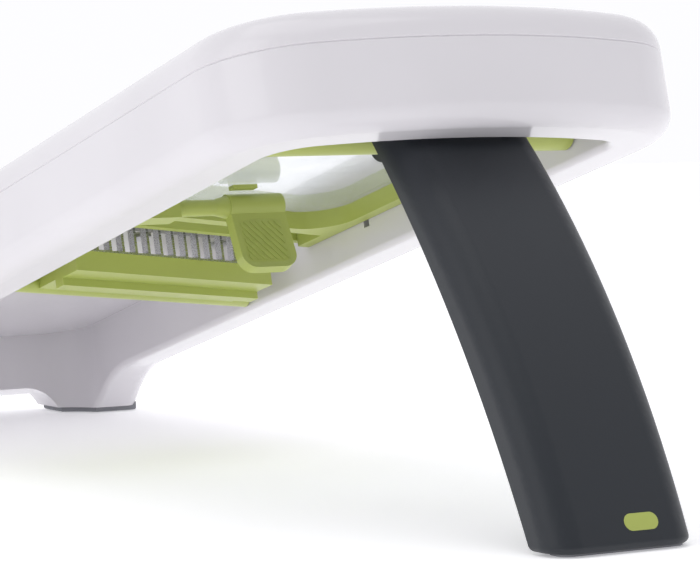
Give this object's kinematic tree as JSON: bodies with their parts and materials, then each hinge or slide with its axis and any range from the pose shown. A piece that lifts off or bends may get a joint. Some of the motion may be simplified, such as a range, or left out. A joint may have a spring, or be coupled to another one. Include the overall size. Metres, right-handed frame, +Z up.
{
  "type": "mandoline slicer",
  "caption": "Hand mandoline slicer: sloping white body on a folding leg, clear adjustable ramp over a slanted blade, fold-up julienne comb and thickness lever.",
  "frame": {"origin": "on the table, under the centre of the slicer's bounding box", "axes": "+Z up; +X towards the handle end, where the leg stands; +Y completes the right-handed frame"},
  "size_m": [0.4552, 0.141, 0.1347],
  "materials": {
    "white_body": "glossy moulded",
    "green_plastic": "semi-gloss moulded",
    "clear_plastic": "clear moulded",
    "blade_steel": "ground",
    "pin_steel": "turned",
    "slate_soft_touch": "soft-touch satin",
    "leg_core_plastic": "moulded",
    "pad_rubber": "matt"
  },
  "bodies": {
    "body": {"base_frame": "white_body", "top_cover": "white_body", "rear_platform": "white_body", "main_blade": "blade_steel", "blade_rivets": "pin_steel", "comb_rod": "pin_steel", "rear_foot_pad_left": "pad_rubber", "rear_foot_pad_right": "pad_rubber", "rear_screws": "pin_steel", "front_screws": "pin_steel"},
    "ramp": {"ramp_plate": "clear_plastic", "ramp_frame": "green_plastic", "lever_stop": "green_plastic"},
    "lever": {"thickness_lever": "green_plastic", "lever_crank": "green_plastic"},
    "comb": {"comb_beam": "green_plastic", "comb_blades": "blade_steel"},
    "leg": {"leg_skin": "slate_soft_touch", "leg_core": "leg_core_plastic", "leg_axle": "green_plastic", "leg_axle_pins": "pin_steel", "leg_foot_pad": "pad_rubber", "leg_badge": "green_plastic"}
  },
  "joints": [
    {"name": "leg_fold", "type": "hinge", "parent": "body", "child": "leg", "pos_m": [0.12429, 0, 0.10187], "axis": [0, 1, 0], "range_deg": [0, 110]},
    {"name": "ramp_height", "type": "slide", "parent": "body", "child": "ramp", "axis": [-0.2436, 0, 0.9699], "range_m": [-0.003, 0.003]},
    {"name": "thickness_turn", "type": "hinge", "parent": "ramp", "child": "lever", "pos_m": [0.03772, 0, 0.08116], "axis": [0, 1, 0], "range_deg": [-30, 30]},
    {"name": "comb_lift", "type": "hinge", "parent": "body", "child": "comb", "pos_m": [-0.04616, 0, 0.0539], "axis": [0.3945, -0.9135, 0.0991], "range_deg": [0, 12]}
  ],
  "couplings": [
    {"joint": "thickness_turn", "follows": "ramp_height", "rad_per_m": -174.5}
  ]
}
